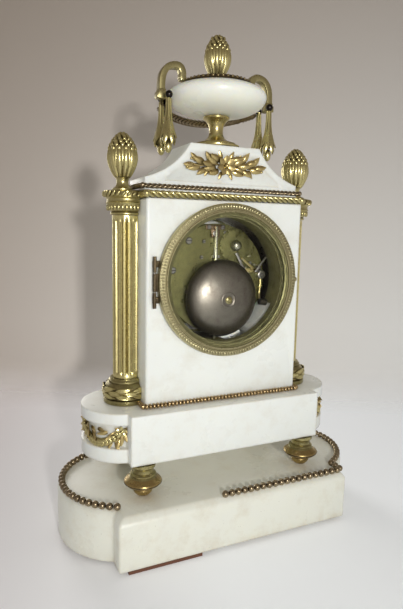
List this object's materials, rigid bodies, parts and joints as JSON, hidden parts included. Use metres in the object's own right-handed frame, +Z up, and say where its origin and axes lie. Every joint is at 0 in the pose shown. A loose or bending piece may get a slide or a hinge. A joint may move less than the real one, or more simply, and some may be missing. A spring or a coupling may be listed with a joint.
{
  "type": "mantel clock",
  "caption": "Marble mantel clock: stepped plinth, fluted columns, urn and gilt mounts round a striking movement behind hinged round glass doors.",
  "frame": {"origin": "centre of the base at the level it stands on", "axes": "+Z up, +Y out of the glazed back, so the dial faces -Y, +X to the hinge side"},
  "size_m": [0.212, 0.106, 0.323],
  "materials": {
    "board": "worn, unvarnished",
    "marble": "polished, slightly stained",
    "dark_bronze": "tarnished",
    "gilt": "worn gilding",
    "olive_brass": "dull",
    "steel": "polished, slightly browned",
    "bell_metal": "satin",
    "glass": "clear",
    "enamel": "glazed"
  },
  "bodies": {
    "clock_case": {"base_board": "board", "lower_plinth": "marble", "upper_plinth": "marble", "case_block": "marble", "pediment_block": "marble", "urn_bowl": "marble", "lower_plinth_beading": "dark_bronze", "pediment_rope": "dark_bronze", "urn_collar": "dark_bronze", "urn_garland": "dark_bronze", "foot_rear_left": "gilt", "foot_rear_right": "gilt", "foot_front_left": "gilt", "foot_front_right": "gilt", "frieze_garland_left": "gilt", "frieze_garland_right": "gilt", "case_beading_rear": "gilt", "case_beading_front": "gilt", "column_base_left": "gilt", "column_shaft_left": "gilt", "column_capital_left": "gilt", "column_finial_left": "gilt", "column_base_right": "gilt", "column_shaft_right": "gilt", "column_capital_right": "gilt", "column_finial_right": "gilt", "cornice_rope": "gilt", "pediment_mount_rear": "gilt", "pediment_mount_front": "gilt", "urn_foot": "gilt", "urn_finial": "gilt", "urn_drop_left": "gilt", "urn_drop_right": "gilt", "rear_bezel": "gilt", "front_bezel": "gilt", "urn_handle_left": "olive_brass", "urn_handle_right": "olive_brass", "front_plate": "olive_brass", "back_plate": "olive_brass", "suspension_block": "olive_brass", "bell": "bell_metal", "dial": "enamel"},
    "rear_door": {"rear_door_rim": "gilt", "rear_door_glass": "glass"},
    "front_door": {"front_door_rim": "gilt", "front_door_glass": "glass"},
    "going_barrel": {"going_barrel": "olive_brass"},
    "centre_arbor": {"centre_wheel": "olive_brass", "minute_hand": "steel"},
    "hour_hand": {"hour_hand": "steel"},
    "third_wheel": {"third_wheel": "olive_brass"},
    "escape_wheel": {"escape_wheel": "olive_brass"},
    "going_winding_arbor": {"going_winding_arbor": "steel"},
    "strike_barrel": {"strike_barrel": "olive_brass"},
    "strike_second_wheel": {"strike_second_wheel": "olive_brass"},
    "count_wheel": {"count_wheel": "olive_brass"},
    "strike_winding_arbor": {"strike_winding_arbor": "steel"},
    "pendulum": {"pendulum": "olive_brass"},
    "pallets": {"pallets": "steel"},
    "hammer": {"hammer": "steel"}
  },
  "joints": [
    {"name": "rear_door_hinge", "type": "hinge", "parent": "clock_case", "child": "rear_door", "pos_m": [0.0509, 0.0254, 0.1676], "axis": [0, 0, -1], "range_deg": [0, 110]},
    {"name": "front_door_hinge", "type": "hinge", "parent": "clock_case", "child": "front_door", "pos_m": [0.0509, -0.0294, 0.1676], "axis": [0, 0, 1], "range_deg": [0, 110]},
    {"name": "going_barrel_spin", "type": "hinge", "parent": "clock_case", "child": "going_barrel", "pos_m": [0.01458, 0, 0.15701], "axis": [0, 1, 0], "continuous": true},
    {"name": "minute_hand_spin", "type": "hinge", "parent": "clock_case", "child": "centre_arbor", "pos_m": [0, 0, 0.1676], "axis": [0, 1, 0], "continuous": true},
    {"name": "hour_hand_spin", "type": "hinge", "parent": "clock_case", "child": "hour_hand", "pos_m": [0, 0, 0.1676], "axis": [0, 1, 0], "continuous": true},
    {"name": "third_wheel_spin", "type": "hinge", "parent": "clock_case", "child": "third_wheel", "pos_m": [0.00702, 0, 0.17801], "axis": [0, 1, 0], "continuous": true},
    {"name": "escape_wheel_spin", "type": "hinge", "parent": "clock_case", "child": "escape_wheel", "pos_m": [0.002, 0, 0.18671], "axis": [0, 1, 0], "continuous": true},
    {"name": "going_winding", "type": "hinge", "parent": "clock_case", "child": "going_winding_arbor", "pos_m": [0.01458, 0, 0.15701], "axis": [0, 1, 0], "continuous": true},
    {"name": "strike_barrel_spin", "type": "hinge", "parent": "clock_case", "child": "strike_barrel", "pos_m": [-0.01458, 0, 0.15701], "axis": [0, 1, 0], "continuous": true},
    {"name": "strike_second_spin", "type": "hinge", "parent": "clock_case", "child": "strike_second_wheel", "pos_m": [-0.01678, 0, 0.1749], "axis": [0, 1, 0], "continuous": true},
    {"name": "count_wheel_spin", "type": "hinge", "parent": "clock_case", "child": "count_wheel", "pos_m": [-0.013, 0, 0.18952], "axis": [0, 1, 0], "continuous": true},
    {"name": "strike_winding", "type": "hinge", "parent": "clock_case", "child": "strike_winding_arbor", "pos_m": [-0.01458, 0, 0.15701], "axis": [0, 1, 0], "continuous": true},
    {"name": "pendulum_swing", "type": "hinge", "parent": "clock_case", "child": "pendulum", "pos_m": [0.002, 0.0084, 0.20121], "axis": [0, 1, 0], "range_deg": [-2, 2]},
    {"name": "pallets_rock", "type": "hinge", "parent": "clock_case", "child": "pallets", "pos_m": [0.002, 0, 0.19731], "axis": [0, 1, 0], "range_deg": [-2, 2]},
    {"name": "hammer_swing", "type": "hinge", "parent": "clock_case", "child": "hammer", "pos_m": [-0.0332, 0.008, 0.1696], "axis": [0, 1, 0], "range_deg": [-5, 4]}
  ],
  "couplings": [
    {"joint": "minute_hand_spin", "follows": "going_barrel_spin", "ratio": -2.5},
    {"joint": "hour_hand_spin", "follows": "going_barrel_spin", "ratio": -0.20833},
    {"joint": "third_wheel_spin", "follows": "going_barrel_spin", "ratio": 6.25},
    {"joint": "escape_wheel_spin", "follows": "going_barrel_spin", "ratio": -15.625},
    {"joint": "strike_second_spin", "follows": "strike_barrel_spin", "ratio": -2.5},
    {"joint": "count_wheel_spin", "follows": "strike_barrel_spin", "ratio": 1.25},
    {"joint": "pallets_rock", "follows": "pendulum_swing", "ratio": 1}
  ]
}
